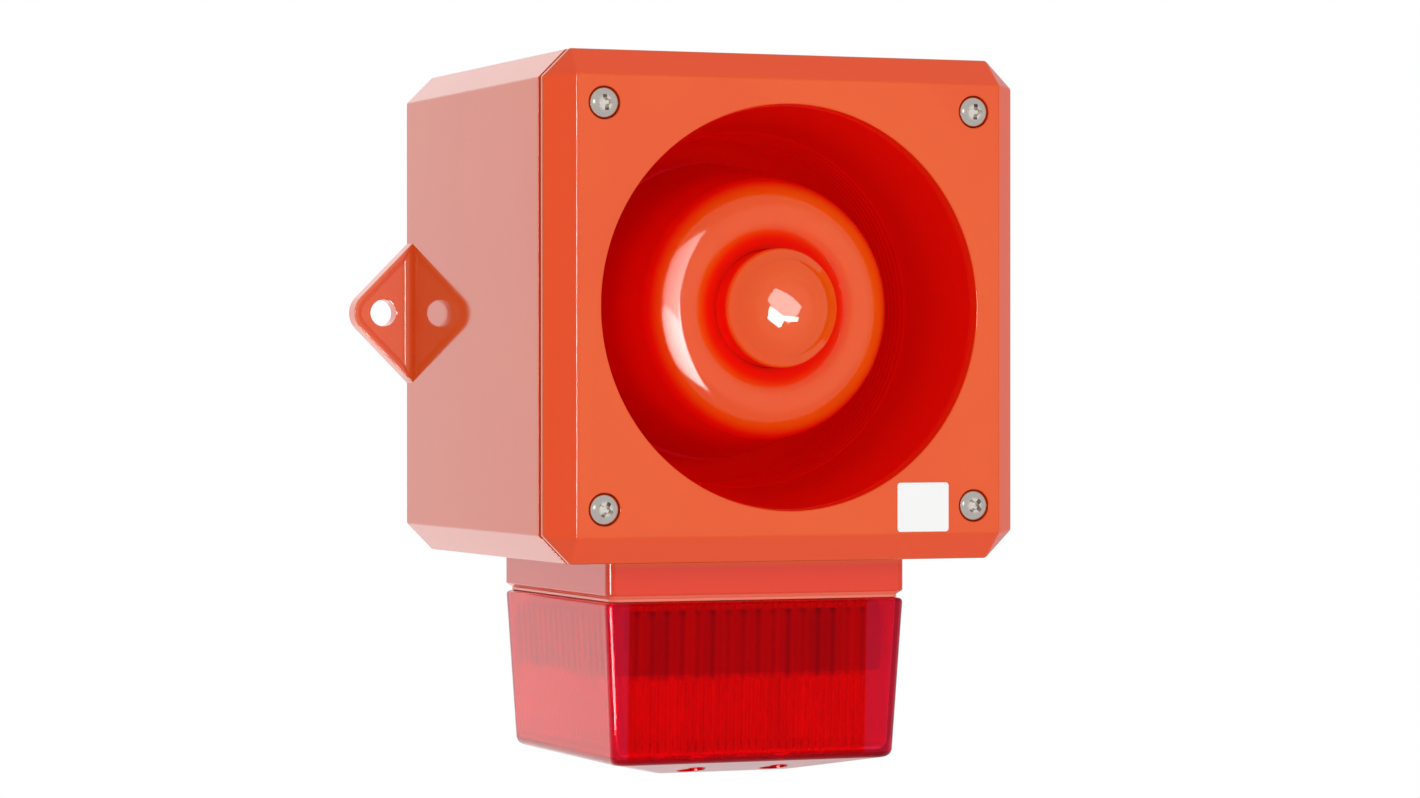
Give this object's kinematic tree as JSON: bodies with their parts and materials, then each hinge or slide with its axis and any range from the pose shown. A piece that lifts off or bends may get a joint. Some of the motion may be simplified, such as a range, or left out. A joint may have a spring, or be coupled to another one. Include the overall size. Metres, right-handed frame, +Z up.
{
  "type": "horn strobe",
  "caption": "Wall-mounted alarm: a square box with chamfered corners, a folded horn in its bevelled lid, and a strobe with a fluted clear red lens hung under the box.",
  "frame": {"origin": "centre of the box's back face, on the wall", "axes": "+X to the right seen from the front, +Y into the wall, +Z up; the horn faces -Y and the strobe hangs towards -Z"},
  "size_m": [0.2008, 0.1483, 0.2303],
  "materials": {
    "housing_red": "orange-red moulded ABS with a smooth satin gloss",
    "horn_red": "orange-red moulded ABS, polished",
    "lens_red": "clear red polycarbonate, polished outside and fluted inside",
    "stainless_screws": "bright stainless steel",
    "black_plastic": "black moulded nylon",
    "white_plastic": "white moulded plastic",
    "seal_rubber": "black moulded silicone rubber",
    "circuit_board": "green solder mask on glass fibre board",
    "terminal_green": "green moulded terminal block",
    "transformer_black": "dark varnished core with taped winding",
    "capacitor_blue": "blue sleeved aluminium can",
    "capacitor_black": "black sleeved aluminium can",
    "coil_brown": "brown varnished winding",
    "switch_red": "red moulded switch body",
    "trimmer_blue": "blue moulded trimmer body",
    "label_white": "blank white vinyl",
    "tube_glass": "clear quartz glass",
    "driver_alloy": "die-cast alloy",
    "plated_steel": "zinc plated steel",
    "ferrite": "dark sintered ferrite",
    "diaphragm_film": "formed phenolic film",
    "coil_copper": "enamelled copper winding"
  },
  "bodies": {
    "root": {"rear_housing": "housing_red", "cover_gasket": "seal_rubber", "control_board": "circuit_board", "board_screw_1": "stainless_screws", "board_screw_2": "stainless_screws", "supply_terminals": "terminal_green", "beacon_terminals": "terminal_green", "output_transformer": "transformer_black", "filter_capacitor": "capacitor_blue", "tone_switch": "switch_red", "volume_trimmer": "trimmer_blue", "entry_plug_front": "black_plastic", "entry_plug_rear": "black_plastic", "beacon_base": "housing_red", "beacon_screw_1": "stainless_screws", "beacon_screw_2": "stainless_screws", "beacon_screw_3": "stainless_screws", "beacon_screw_4": "stainless_screws", "wire_grommet": "seal_rubber", "strobe_board": "circuit_board", "strobe_board_screw_1": "stainless_screws", "strobe_board_screw_2": "stainless_screws", "inner_shroud": "black_plastic", "tube_holder": "white_plastic", "xenon_tube": "tube_glass", "strobe_capacitor": "capacitor_black", "trigger_coil": "coil_brown", "lens_gasket": "seal_rubber"},
    "cover": {"front_cover": "housing_red", "cover_screw_1": "stainless_screws", "cover_screw_2": "stainless_screws", "cover_screw_3": "stainless_screws", "cover_screw_4": "stainless_screws", "blank_label": "label_white", "horn_bell": "horn_red", "horn_throat": "horn_red", "horn_reflector": "horn_red", "reflector_cap": "horn_red", "reflector_screw": "stainless_screws", "driver_front_plate": "driver_alloy", "driver_top_plate": "plated_steel", "driver_magnet": "ferrite", "driver_yoke": "plated_steel", "driver_can": "black_plastic", "driver_screw_1": "stainless_screws", "driver_screw_2": "stainless_screws", "driver_screw_3": "stainless_screws"},
    "diaphragm": {"driver_diaphragm": "diaphragm_film", "voice_coil": "coil_copper"},
    "lens": {"beacon_lens": "lens_red", "lens_screw_1": "stainless_screws", "lens_screw_2": "stainless_screws", "lens_screw_3": "stainless_screws", "lens_screw_4": "stainless_screws"},
    "tone_way_1": {"tone_slider_1": "white_plastic"},
    "tone_way_2": {"tone_slider_2": "white_plastic"},
    "tone_way_3": {"tone_slider_3": "white_plastic"},
    "tone_way_4": {"tone_slider_4": "white_plastic"},
    "volume": {"volume_rotor": "white_plastic"}
  },
  "joints": [
    {"name": "cover_lift", "type": "slide", "parent": "root", "child": "cover", "axis": [0, -1, 0], "range_m": [0, 0.14]},
    {"name": "lens_drop", "type": "slide", "parent": "root", "child": "lens", "axis": [0, 0, -1], "range_m": [0, 0.06]},
    {"name": "diaphragm_travel", "type": "slide", "parent": "cover", "child": "diaphragm", "axis": [0, -1, 0], "range_m": [-0.0004, 0.0004], "stiffness_N_per_m": 1000},
    {"name": "tone_slide_1", "type": "slide", "parent": "root", "child": "tone_way_1", "axis": [0, 0, 1], "range_m": [0, 0.002]},
    {"name": "tone_slide_2", "type": "slide", "parent": "root", "child": "tone_way_2", "axis": [0, 0, 1], "range_m": [0, 0.002]},
    {"name": "tone_slide_3", "type": "slide", "parent": "root", "child": "tone_way_3", "axis": [0, 0, 1], "range_m": [0, 0.002]},
    {"name": "tone_slide_4", "type": "slide", "parent": "root", "child": "tone_way_4", "axis": [0, 0, 1], "range_m": [0, 0.002]},
    {"name": "volume_turn", "type": "hinge", "parent": "root", "child": "volume", "pos_m": [0.03512, -0.017, -0.045], "axis": [0, -1, 0], "range_deg": [-135, 135]}
  ]
}
